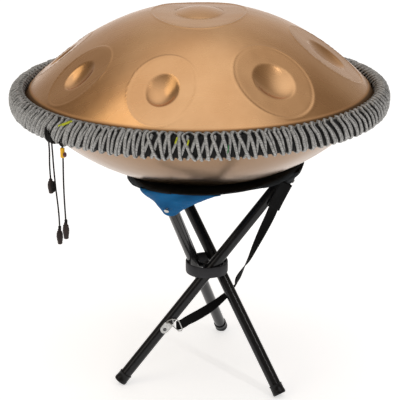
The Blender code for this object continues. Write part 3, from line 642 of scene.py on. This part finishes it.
PAIR_GAP = (0.17, 0.29)  # how far the two turns of a pair move together at the front and elsewhere, in pitches
LOOSE_REACH = 0.42  # radians from the front over which the turns are loose
PAIR_REACH = 0.9  # radians over which PAIR_GAP changes
WRAP_POINTS = 21
WRAP_END = 163  # degrees round the section, from its outside, where a turn starts and stops
LACING_LOOPS = 146
LOOP_POINTS = 14
WRAPS = 2 * LACING_LOOPS
FRONT = 1.5 * math.pi  # azimuth of the front, where the turns are loose and cross


def rope_section(angle, inset):
    """Radius and height on the rope's rounded section, drawn in from its outside."""
    power = 2 / ROPE_SQUARE
    c, s = np.cos(angle), np.sin(angle)
    return (ROPE_R + (ROPE_HALF_W - inset) * np.sign(c) * np.abs(c) ** power,
            (ROPE_HALF_H - inset) * np.sign(s) * np.abs(s) ** power)


def wrap_path(azimuth, slant, inset, start=WRAP_END, stop=-WRAP_END, points=WRAP_POINTS, pull=0.0):
    """One turn of rope round the rim, from the inner upper lip over the outside to the lower lip.

    `pull` draws its upper end towards the nearest loop of the lacing.
    """
    angle = np.radians(np.linspace(start, stop, points))
    r, z = rope_section(angle, inset)
    pitch = TURN / LACING_LOOPS
    to_loop = (math.floor(azimuth / pitch) + 0.5) * pitch - azimuth - slant
    turn = azimuth + slant * np.sin(angle) + pull * to_loop * smoothstep(1.0, 1.75, angle)
    return np.stack([r * np.cos(turn), r * np.sin(turn), RING_Z + z], -1)


def build_rope():
    strands = []
    for i in range(WRAPS):
        odd = i % 2
        azimuth = TURN * (i + 0.5) / WRAPS
        past_front = (azimuth - FRONT + math.pi) % TURN - math.pi
        loose = math.exp(-(past_front / LOOSE_REACH) ** 2)
        together = PAIR_GAP[1] + (PAIR_GAP[0] - PAIR_GAP[1]) * math.exp(-(past_front / PAIR_REACH) ** 2)
        azimuth += TURN * (together * (1 - 2 * odd) + RANDOM.uniform(-0.12, 0.12)) / WRAPS
        lean = -0.058 * math.sin(past_front) * (1 - 0.5 * loose) + (0.021 if odd else -0.017) * loose
        lean += RANDOM.normal(0, 0.005 + 0.004 * loose)
        inset = STRAND_R + 1.7 * MM * odd + RANDOM.uniform(0, 0.6) * MM
        path = wrap_path(azimuth, lean, inset, pull=0.6)
        wobble = ripples(path, 0.018, 0.5 * MM, 100 + i, 3)
        path[:, :2] *= (1 - np.abs(wobble) / ROPE_R)[:, None]
        tangent = (-math.sin(azimuth), math.cos(azimuth), 0)  # puts the UVs' start on the outside
        radius = STRAND_R * (RANDOM.uniform(0.92, 1.06) + 0.08 * loose)
        strands.append(tube_mesh("strand", path, radius, 8, False, tangent, STRAND_R))
    ride("pan", "rope_winding", join_meshes("rope_winding", strands), ROPE, "rope", "rim_rope")

    angle = np.linspace(WRAP_END, -WRAP_END, 20)
    outside = [rope_section(math.radians(a), 4.6 * MM) for a in angle]
    inside = [(r - ROPE_R, z) for r, z in outside][::-1]
    inside = [(ROPE_R + 0.55 * x, 0.62 * z) for x, z in inside]
    ring = [(float(r), float(z)) for r, z in outside + inside]
    ride("pan", "rope_core", lathe("rope_core", ring, 180, Matrix.Translation((0, 0, RING_Z)), closed=True),
         ROPE_INSIDE, "rope", "rope_core_upper", "rope_core_lower")

    count = LACING_LOOPS * LOOP_POINTS
    t = TURN * np.arange(count) / count
    phase = t * LACING_LOOPS
    r = ROPE_R - 6.0 * MM + 2.6 * MM * np.cos(phase)
    z = RING_Z + ROPE_HALF_H - 3.6 * MM + 1.5 * MM * np.sin(phase + 0.6 * np.sin(phase))
    loops = np.stack([r * np.cos(t), r * np.sin(t), z], -1)
    ride("pan", "rope_lacing", tube_mesh("rope_lacing", loops, 1.7 * MM, 6, closed=True), ROPE_LACED_SHADED, "rope")


def build_threads():
    """Bright marker threads caught in the winding, and the ties of the hanging cords."""
    threads = []
    for azimuth, slant, start, stop in ((-135.5, 0.12, 84, 30), (-134.9, 0.12, 80, 38), (-96.8, 0.02, 50, 20),
                                        (-93.4, 0.015, 38, 14)):
        path = wrap_path(math.radians(azimuth), slant, 0.7 * MM, start, stop, 9)
        threads.append(tube_mesh("thread", path, 1.1 * MM, 6))
    ride("pan", "marker_threads", join_meshes("marker_threads", threads), THREAD, "yellow_sleeve")
    path = wrap_path(math.radians(-82.6), 0.01, 0.9 * MM, 12, -14, 7)
    ride("pan", "marker_thread_green", tube_mesh("thread", path, 0.9 * MM, 6), THREAD_GREEN, "yellow_sleeve")
    ties = []
    for azimuth, start in ((-137.3, 8), (-136.3, 0), (-135.4, -8), (-131.6, -35)):
        path = wrap_path(math.radians(azimuth), 0.012, 0.4 * MM, start, -95, 14)
        ties.append(tube_mesh("tie", path, 1.7 * MM, 8))
    ride("pan", "cord_ties", join_meshes("cord_ties", ties), CORD, "black_cord")


# ------------------------------------------------------------------ hanging cords

CORDS = {  # azimuth and (sideways, downward) way points
    1: (-137.1, ((0, -0.008), (0, 0.030), (0, 0.0735))),
    2: (-135.8, ((0, -0.008), (0.001, 0.030), (0.0045, 0.060), (0.0085, 0.098), (0.0085, 0.1455))),
    3: (-131.3, ((0, -0.006), (0, 0.025), (0, 0.080), (0, 0.1340))),
}
CORD_R = 1.2 * MM
END_RIBS = 7


def in_mm(*pairs, lift=0.0):
    """(radius, height) pairs given in millimetres, raised by `lift` metres."""
    return [(radius * MM, height * MM + lift) for radius, height in pairs]


def cord_frame(number):
    """Frame at a cord's hinge: local X out from the pan, local Z up."""
    azimuth = math.radians(CORDS[number][0])
    out = Vector((math.cos(azimuth), math.sin(azimuth), 0))
    matrix = Matrix((out, Vector((-out.y, out.x, 0)), Vector((0, 0, 1)))).transposed().to_4x4()
    matrix.translation = Vector(JOINTS[f"cord_{number}_swing"]["pos_m"])
    return matrix


def build_cord(number):
    """A cord with its moulded end, and beside or above the end a second end or a knot."""
    path = smooth_path([(0, side, -down) for side, down in CORDS[number][1]], 40)
    sway = np.sin(np.linspace(0, 2.6 * math.pi, len(path))) * 0.7 * MM
    path[:, 1] += sway * smoothstep(0, 0.02, -path[:, 2])
    mesh = tube_mesh("cord", path, CORD_R, 8)
    mesh.transform(cord_frame(number))
    body = f"hanging_cord_{number}"
    ride(body, f"cord_line_{number}", mesh, CORD, "black_cord", f"cord_{number}")

    low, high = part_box(f"cord_toggle_{number}")
    half = (high.z - low.z) / 2
    ribs = in_mm((0.6, 0), (2.2, -0.3), (2.7, -1.4), (2.3, -2.6), (3.2, -3.6), lift=half)
    for i in range(END_RIBS):
        z = half - 4.2 * MM - i * (2 * half - 7.5 * MM) / END_RIBS
        width = 3.5 * MM + 1.1 * MM * math.sin(math.pi * (i + 0.6) / END_RIBS)
        ribs += [(width, z), (width + 0.25 * MM, z - 0.6 * MM), (width - 0.35 * MM, z - 1.3 * MM)]
    ribs += in_mm((3.6, 2.2), (3.1, 0.6), (2.0, 0), (0.3, 0), lift=-half)
    place = Matrix.Translation((low + high) / 2)
    ride(body, f"cord_end_{number}", lathe("cord_end", ribs, 20, place), CORD_END, "black_cord",
         f"cord_toggle_{number}")

    side = cord_frame(number).to_3x3() @ Vector((0, 1, 0))
    if number == 1:
        beside = place @ Matrix.Translation(side * 5.6 * MM + Vector((0, 0, 0.6 * MM))) @ Matrix.Scale(0.72, 4)
        mesh = lathe("cord_end", ribs, 16, beside)
    else:
        knot = in_mm((0.5, 3.0), (1.9, 2.3), (2.4, 0.8), (1.9, -0.2), (2.3, -1.2), (1.7, -2.6), (0.5, -3.2))
        above = place @ Matrix.Translation(side * 0.8 * MM + Vector((0, 0, half + 2.0 * MM)))
        mesh = lathe("cord_knot", knot, 14, above)
    ride(body, f"cord_knot_{number}", mesh, CORD, "black_cord")


def build_sleeve():
    """Yellow sleeve of cord 3, and the bead beside it."""
    low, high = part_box("cord_sleeve")
    half = (high.z - low.z) / 2
    profile = [(CORD_R, half), (2.7 * MM, half), (3.1 * MM, half - 0.6 * MM), (3.0 * MM, 0),
               (3.2 * MM, -half + 1.5 * MM), (2.9 * MM, -half), (CORD_R, -half)]
    place = Matrix.Translation((low + high) / 2)
    ride("hanging_cord_3", "yellow_sleeve", lathe("yellow_sleeve", profile, 20, place), YELLOW, "yellow_sleeve",
         "cord_sleeve")
    bead = in_mm((0.4, 3.4), (1.6, 3.0), (2.4, 1.5), (2.5, -1.2), (1.8, -3.0), (0.4, -3.4))
    side = cord_frame(3).to_3x3() @ Vector((0, 1, 0))
    place = Matrix.Translation((low + high) / 2 + side * 4.6 * MM + Vector((0, 0, -2 * MM)))
    ride("hanging_cord_3", "cord_bead", lathe("cord_bead", bead, 16, place), BEAD, "black_cord")


# ------------------------------------------------------------------ stool frame

def build_leg(number):
    """Tube of a leg and its foot, worn flat where it meets the floor."""
    body = f"leg_{number}"
    place = leg_frame(number)
    bore = TUBE_R - TUBE_WALL
    end = -(LEG_DOWN - 3.0 * MM)
    heights = np.linspace(LEG_UP, end, 30)
    profile = [(TUBE_R, z) for z in heights] + [(bore, end), (bore, LEG_UP), (TUBE_R - 0.4 * MM, LEG_UP)]
    ride(body, f"tube_{number}", lathe("tube", profile, 48, place, closed=True), TUBE, "black_tube",
         f"leg_tube_{number}")

    top, base = -LEG_DOWN + CAP_LENGTH, -LEG_DOWN
    inner = TUBE_R + 0.3 * MM
    cup = [(inner, top), (CAP_R - 0.7 * MM, top), (CAP_R - 0.1 * MM, top - 0.5 * MM), (CAP_R, top - 1.8 * MM),
           (CAP_R - 0.5 * MM, top - 2.4 * MM), (CAP_R - 0.4 * MM, base + 6 * MM), (CAP_R, base + 5.4 * MM),
           (CAP_R, base + 1.6 * MM), (CAP_R - 0.8 * MM, base + 0.4 * MM), (CAP_R - 2 * MM, base), (0.2 * MM, base)]
    mesh = lathe("foot", cup, 40, place)
    for vertex in mesh.vertices:
        vertex.co.z = max(vertex.co.z, 0.0)
    ride(body, f"foot_{number}", mesh, RUBBER, "rubber", f"foot_cap_{number}")


COLLAR_WALL = 3.4 * MM
COLLAR_LAP = 1.0 * MM  # height of the step where the ends overlap


def build_collar():
    """Thick rubber band whose ends overlap on the right, so its outside has a step."""
    low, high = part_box("hub_collar")
    radius = (high.x - low.x) / 2
    half = (high.z - low.z) / 2
    wall = radius - COLLAR_WALL
    seam, overlap = math.radians(-24), math.radians(26)
    radius -= 0.9 * MM  # leaves room for the overlap inside the band's own size

    def step(rings, angle):
        behind = (seam - angle + math.pi) % TURN - math.pi
        lap = smoothstep(0, math.radians(2), behind) * (1 - smoothstep(overlap, overlap * 1.6, behind))
        away = np.hypot(rings[..., 0], rings[..., 1])
        grow = (away > radius - 1.0 * MM) * lap[None, :] * COLLAR_LAP / away
        rings[..., :2] *= (1 + grow)[..., None]
        rings[..., 2] += ripples(rings, 0.05, 0.25 * MM, 21)
        return rings

    edge = 1.0 * MM
    profile = [(radius - edge, half), (radius - 0.3 * edge, half - 0.3 * edge), (radius, half - edge),
               (radius + 0.2 * MM, 0), (radius, -half + edge), (radius - 0.3 * edge, -half + 0.3 * edge),
               (radius - edge, -half), (wall + edge, -half), (wall, -half + edge), (wall, half - edge),
               (wall + edge, half)]
    mesh = lathe("collar_band", profile, 180, Matrix.Translation(HUB), closed=True, ripple=step)
    ride("hub", "collar_band", mesh, COLLAR, "collar_rubber", "hub_collar")


# ------------------------------------------------------------------ fabric seat

def corner_azimuth(number):
    return foot_azimuth(number) + 180


def seat_wave(azimuth_deg):
    """0 in the middle of a bowed side, 1 at a corner."""
    return ((1 + np.cos(np.radians(3 * (azimuth_deg - corner_azimuth(1))))) / 2) ** 1.5


def seat_height(x, y):
    """Middle of the cloth: pressed under the bowl, then level out to the edge."""
    wave = seat_wave(np.degrees(np.arctan2(y - HUB.y, x - HUB.x)))
    under = RING_Z - bowl_depth(np.clip(np.hypot(x, y), PORT_R, BOWL_R)) - SHEET / 2 - SEAT_CLOTH / 2 - 0.6 * MM
    return np.minimum(under, SEAT_SIDE_Z + (SEAT_CORNER_Z - SEAT_SIDE_Z) * wave)


def seat_points(azimuth_deg, share):
    """Places on the cloth's middle, from the hub's axis (share 0) to its edge (share 1)."""
    edge = (SEAT_SIDE_R + (SEAT_CORNER_R - SEAT_SIDE_R) * seat_wave(azimuth_deg)) * share
    x = HUB.x + edge * np.cos(np.radians(azimuth_deg))
    y = HUB.y + edge * np.sin(np.radians(azimuth_deg))
    return np.stack([x, y, seat_height(x, y)], -1)


def corner_blend(obj):
    """Bake the piece's placement into its mesh."""
    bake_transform(obj)


def build_seat_cloth(number):
    """The third of the cloth that belongs to one corner."""
    azimuth = corner_azimuth(number) + np.linspace(-60, 60, 49)
    share = np.concatenate([np.linspace(0.001, 0.98, 34), [0.992, 1.0]])
    s, a = np.meshgrid(share, azimuth, indexing="ij")
    top = seat_points(a, s)
    slack = smoothstep(0.72, 0.97, s)
    top[..., 2] -= slack * np.abs(ripples(top, 0.03, 0.5 * MM, 31))
    under = top[::-1].copy()
    top[..., 2] += SEAT_CLOTH / 2
    under[..., 2] -= SEAT_CLOTH / 2
    mesh = grid_mesh("seat_cloth", np.concatenate([top, under]), size=(0.30, 0.28))
    obj = piece(f"seat_cloth_{number}", mesh, NYLON, "black_nylon", *(["seat_sheet"] if number == 1 else []))
    corner_blend(obj)


HEM_DEEP_AT = 203  # degrees; the edge band hangs lowest here


def build_hem(corner, side):
    """Half of the folded edge band along one side, from its middle to a corner."""
    middle_azimuth = corner_azimuth(corner) + 60 * side
    azimuth = middle_azimuth - np.linspace(0, 58, 40) * side
    top = seat_points(azimuth, 0.975)
    outer = seat_points(azimuth, 1.0)
    turn = (azimuth - HEM_DEEP_AT + 180) % 360 - 180
    depth = 0.6 * MM + 9.0 * MM * np.exp(-(turn / 22) ** 2) + 4.5 * MM * smoothstep(95, 125, turn)
    band = []
    for share in np.linspace(0, 1, 9):
        row = top + (outer - top) * math.sin(min(share * 2, 1) * math.pi / 2)
        row[:, 2] = outer[:, 2] + SEAT_CLOTH / 2 - 0.2 * MM - share * (depth + SEAT_CLOTH)
        row[:, :2] += 0.5 * MM * ripples(row, 0.035, 1.0, 41)[:, None] * share
        band.append(row)
    mesh = grid_mesh("seat_hem", np.array(band), size=(0.13, 0.012))
    obj = piece(f"hem_{corner}_{'left' if side < 0 else 'right'}", mesh, NYLON, "black_nylon",
                *([f"seat_hem_{corner}"] if side > 0 else []))
    thicken(obj, "cloth", HEM_CLOTH, -1)
    corner_blend(obj)


POCKET_RINGS = (  # share of the way up, distance from the hub's axis, half sizes outward and sideways
    (0.0, 0.1100, 0.0130, 0.0136), (0.33, 0.1170, 0.0150, 0.0275),
    (0.67, 0.1215, 0.0195, 0.0450), (1.0, 0.1235, 0.0205, 0.0570),
)
POCKET_MOUTH_R = 0.110  # height of the mouth, given as the leg's distance from the hub's axis
POCKET_SHIFT = 0.004  # how far the top sits to the side that the leg passes on
POCKET_TOP_Z = 0.3525


def pocket_mouth(number):
    return leg_frame(number) @ Vector((0, 0, POCKET_MOUTH_R / math.sin(LEAN)))


def pocket_surface(number, columns=72, rows=26):
    """Cloth funnel from its mouth round the leg up to the seat's corner, with folds."""
    azimuth = math.radians(corner_azimuth(number))
    out = np.array((math.cos(azimuth), math.sin(azimuth), 0))
    side = np.array((-out[1], out[0], 0))
    place = leg_frame(number)
    mouth = np.array(pocket_mouth(number))
    mouth_out = -np.array(place.to_3x3() @ Vector((1, 0, 0)))
    hub = np.array(HUB)
    shift = (mouth - hub) @ side
    shares = [ring[0] for ring in POCKET_RINGS]
    fits = [np.polyfit(shares, [ring[k] for ring in POCKET_RINGS], 3) for k in (1, 2, 3)]
    angle = TURN * np.arange(columns) / columns
    rings = []
    for share in np.linspace(0, 1, rows):
        middle_r, half_out, half_side = (np.polyval(fit, share) for fit in fits)
        centre = hub + out * middle_r + side * (shift * (1 - share) - POCKET_SHIFT * share)
        centre[2] = mouth[2] + (POCKET_TOP_Z - mouth[2]) * share
        lean = min(2 * share, 1.0)
        outward = mouth_out * (1 - lean) + out * lean
        outward /= np.linalg.norm(outward)
        folds = 1 + 0.06 * share * np.sin(6 * angle + 2.5 * share) + 0.06 * share * np.sin(3 * angle + 8 * share)
        folds += 0.05 * share * (1 - np.abs(np.sin(4.5 * angle + 5 * share))) ** 2
        folds *= 1 - 0.10 * math.sin(math.pi * share) * np.abs(np.sin(angle)) ** 6
        ring = centre + np.outer(half_side * folds * np.cos(angle), side) + np.outer(
            half_out * folds * np.sin(angle), outward)
        limit = seat_height(ring[:, 0], ring[:, 1]) - SEAT_CLOTH / 2 - 1.2 * MM - (1 - share) * 0.020
        ring[:, 2] = np.minimum(ring[:, 2], limit)
        rings.append(ring)
    return np.array(rings)


def build_pocket(number):
    mesh = grid_mesh("pocket", pocket_surface(number), close_columns=True, size=(0.24, 0.06))
    look = BLUE if number == 1 else NYLON
    obj = piece(f"pocket_{number}", mesh, look, "blue_nylon" if number == 1 else "black_nylon",
                f"corner_pocket_{number}")
    thicken(obj, "cloth", POCKET_CLOTH, -1)
    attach(obj, f"leg_{number}")
    pocket_mouth(number)
    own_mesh(obj)


# ------------------------------------------------------------------ carrying strap

STRAP_PATH = (  # middle of the webbing, and degrees it turns about its length from facing the front
    (0.1322, -0.0370, 0.3285, 0), (0.1244, -0.0345, 0.3115, 0), (0.1157, -0.0285, 0.2900, 8),
    (0.1084, -0.0205, 0.2673, 25), (0.0975, -0.0145, 0.2400, 45), (0.0870, -0.0115, 0.2150, 65),
    (0.0775, -0.0100, 0.1925, 85), (0.0680, -0.0095, 0.1755, 110), (0.0605, -0.0095, 0.1600, 125),
    (0.0570, -0.0090, 0.1480, 105), (0.0510, -0.0080, 0.1385, 90), (0.0400, -0.0130, 0.1300, 78),
    (0.0240, -0.0250, 0.1210, 62), (0.0078, -0.0365, 0.1143, 40), (-0.0102, -0.0450, 0.1070, 18),
    (-0.0202, -0.0491, 0.1033, 0), (-0.0282, -0.0509, 0.0986, 0), (-0.0345, -0.0523, 0.0964, 0),
    (-0.0385, -0.0531, 0.0962, 0),
)
STRAP_FOLD_END = 20  # sample of the path where the doubled, sewn-back end stops
STRAP_FOLD_W = 19 * MM


def webbing_points(path, width, toward_front=0.0):
    """Crowned strip of webbing along a path of places and turns."""
    along = np.gradient(path[:, :3], axis=0)
    along /= np.linalg.norm(along, axis=1)[:, None]
    across = np.cross(along, (0, -1, 0))
    across /= np.linalg.norm(across, axis=1)[:, None]
    turn = np.radians(path[:, 3:])
    across = across * np.cos(turn) + np.cross(along, across) * np.sin(turn)
    face = np.cross(along, across)
    columns = np.linspace(-0.5, 0.5, 9)
    crown = 0.5 * MM * np.cos(math.pi * columns) ** 2
    points = (path[:, None, :3] + across[:, None] * (columns * width)[None, :, None]
              + face[:, None] * crown[None, :, None])
    points[..., 1] -= toward_front
    return points


def build_strap():
    """The webbing from corner 3 to the wire ring, with its doubled upper end."""
    path = smooth_path(STRAP_PATH, 150)
    length = np.linalg.norm(np.diff(path[:, :3], axis=0), axis=1).sum()
    mesh = grid_mesh("strap", webbing_points(path, STRAP_W), size=(STRAP_W, length))
    strap = piece("strap_webbing", mesh, WEBBING, "black_nylon", "carry_strap")
    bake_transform(strap)
    doubled = path[:STRAP_FOLD_END]
    length = np.linalg.norm(np.diff(doubled[:, :3], axis=0), axis=1).sum()
    mesh = grid_mesh("strap_fold", webbing_points(doubled, STRAP_FOLD_W, 1.7 * MM), size=(STRAP_FOLD_W, length))
    fold = ride("leg_3", "strap_fold", mesh, WEBBING, "black_nylon")
    for obj in (strap, fold):
        thicken(obj, "webbing", STRAP_T, 0)


# ------------------------------------------------------------------ carried-over nodes, light and camera

def finish_cad_nodes():
    """Looks for the small hard pieces that are shown as they are in the CAD."""
    looks = {"rim_glue_seam": SEAM, "hub_spider": STEEL_NEAR_BLACK, "strap_clip": ZINC, "clip_rivet": STEEL,
             "strap_ring": ZINC}
    for n in LEGS:
        looks[f"pivot_nut_{n}"] = STEEL
        looks[f"top_plug_{n}"] = RUBBER
        looks[f"pocket_rivet_{n}"] = ZINC
    for name, look in looks.items():
        obj = NODES[name]
        if not obj.data.materials:
            obj.data.materials.append(look)
        for i in range(len(obj.data.materials)):
            obj.data.materials[i] = look
    for name in ("strap_clip", "hub_spider", "pivot_nut_1", "pivot_nut_2", "pivot_nut_3"):
        bevel = NODES[name].modifiers.new("edges", "BEVEL")
        bevel.width, bevel.segments, bevel.limit_method = 0.25 * MM, 2, "ANGLE"


def build_stage():
    floor = bpy.data.meshes.new("studio_floor")
    half = 30.0
    corners = [(-half, -half, 0), (half, -half, 0), (half, half, 0), (-half, half, 0)]
    floor.from_pydata(corners, [], [(0, 1, 2, 3)])
    floor.materials.append(material("floor_white", Roughness=0.9, Base_Color=rgb(0.80, 0.80, 0.80),
                                    Emission_Color=rgb(1.0, 1.0, 1.0), Emission_Strength=0.60,
                                    Specular_IOR_Level=0.0)[0])
    obj = bpy.data.objects.new("studio_floor", floor)
    bpy.context.collection.objects.link(obj)


WORLD_STRENGTH = 1.15


def build_world():
    """Plain studio: bright overhead and dimmer towards the horizon, with a paler wall behind the pan."""
    world = bpy.data.worlds.new("studio")
    bpy.context.scene.world = world
    world.use_nodes = True
    tree = world.node_tree
    x, y, z = split(tree, coordinates(tree, "Generated"))
    level = from_axis(tree, x, y)
    toward_back = math_node(tree, "DIVIDE", y, plus(tree, level, 0.001))
    sides = ramp(tree, z, (0.0, rgb(0.13, 0.11, 0.09)), (0.30, rgb(0.175, 0.150, 0.122)),
                 (0.75, rgb(0.280, 0.242, 0.205)), (0.93, rgb(0.98, 0.99, 1.03)), (1.0, rgb(1.12, 1.14, 1.19)))
    back = ramp(tree, z, (0.02, rgb(0.84, 0.82, 0.80)), (0.14, rgb(0.56, 0.52, 0.485)),
                (0.32, rgb(0.68, 0.66, 0.64)), (0.55, rgb(0.60, 0.57, 0.54)), (0.75, rgb(0.58, 0.565, 0.55)),
                (0.93, rgb(0.98, 0.985, 1.01)), (1.0, rgb(1.12, 1.14, 1.19)))
    share = ramp(tree, toward_back, (0.50, 0.0), (0.72, 0.40), (0.92, 0.76), (0.98, 1.0))
    background = tree.nodes["Background"]
    tree.links.new(mix(tree, share, sides, back), background.inputs["Color"])
    background.inputs["Strength"].default_value = WORLD_STRENGTH


def area_light(name, place, aim, size, power, color=(1, 1, 1)):
    light = bpy.data.lights.new(name, "AREA")
    light.shape, light.size, light.size_y = "RECTANGLE", *size
    light.energy, light.color = power, color
    obj = bpy.data.objects.new(name, light)
    obj.location = place
    obj.rotation_euler = (Vector(aim) - Vector(place)).to_track_quat("-Z", "Y").to_euler()
    bpy.context.collection.objects.link(obj)


def build_lights():
    """A narrow lamp on the right and two soft ones on the left."""
    area_light("strip_right", (1.19, -1.45, 2.14), (0.10, -0.10, 0.20), (0.13, 1.0), 7)
    area_light("softbox_left", (-2.4, -1.6, 1.6), (0, 0, 0.3), (1.3, 2.0), 9, (1.0, 0.95, 0.86))
    area_light("softbox_high_left", (-1.5, -0.45, 2.4), (0, 0, 0.5), (1.1, 1.1), 4.5, (1.0, 0.92, 0.70))


CAMERA_PLACE = (0, -1.80, 0.945)
CAMERA_AIM = (0, 0, 0.2876)
CAMERA_ROLL = math.radians(-0.26)
FOCAL_LENGTH = 110.2  # on a sensor 36 wide


def build_camera():
    camera = bpy.data.cameras.new("camera")
    camera.lens, camera.sensor_width = FOCAL_LENGTH, 36.0
    obj = bpy.data.objects.new("camera", camera)
    obj.location = CAMERA_PLACE
    aim = (Vector(CAMERA_AIM) - obj.location).to_track_quat("-Z", "Y")
    obj.rotation_euler = (aim @ Quaternion((0, 0, 1), CAMERA_ROLL)).to_euler()
    bpy.context.collection.objects.link(obj)
    bpy.context.scene.camera = obj


build_top_shell()
build_bottom_shell()
build_rope()
build_threads()
for cord_number in CORDS:
    build_cord(cord_number)
build_sleeve()
build_collar()
for leg_number in LEGS:
    build_leg(leg_number)
    build_seat_cloth(leg_number)
    build_hem(leg_number, -1)
    build_hem(leg_number, 1)
    build_pocket(leg_number)
build_strap()
finish_cad_nodes()
build_stage()
build_world()
build_lights()
build_camera()
bpy.context.scene.view_settings.view_transform = "Standard"
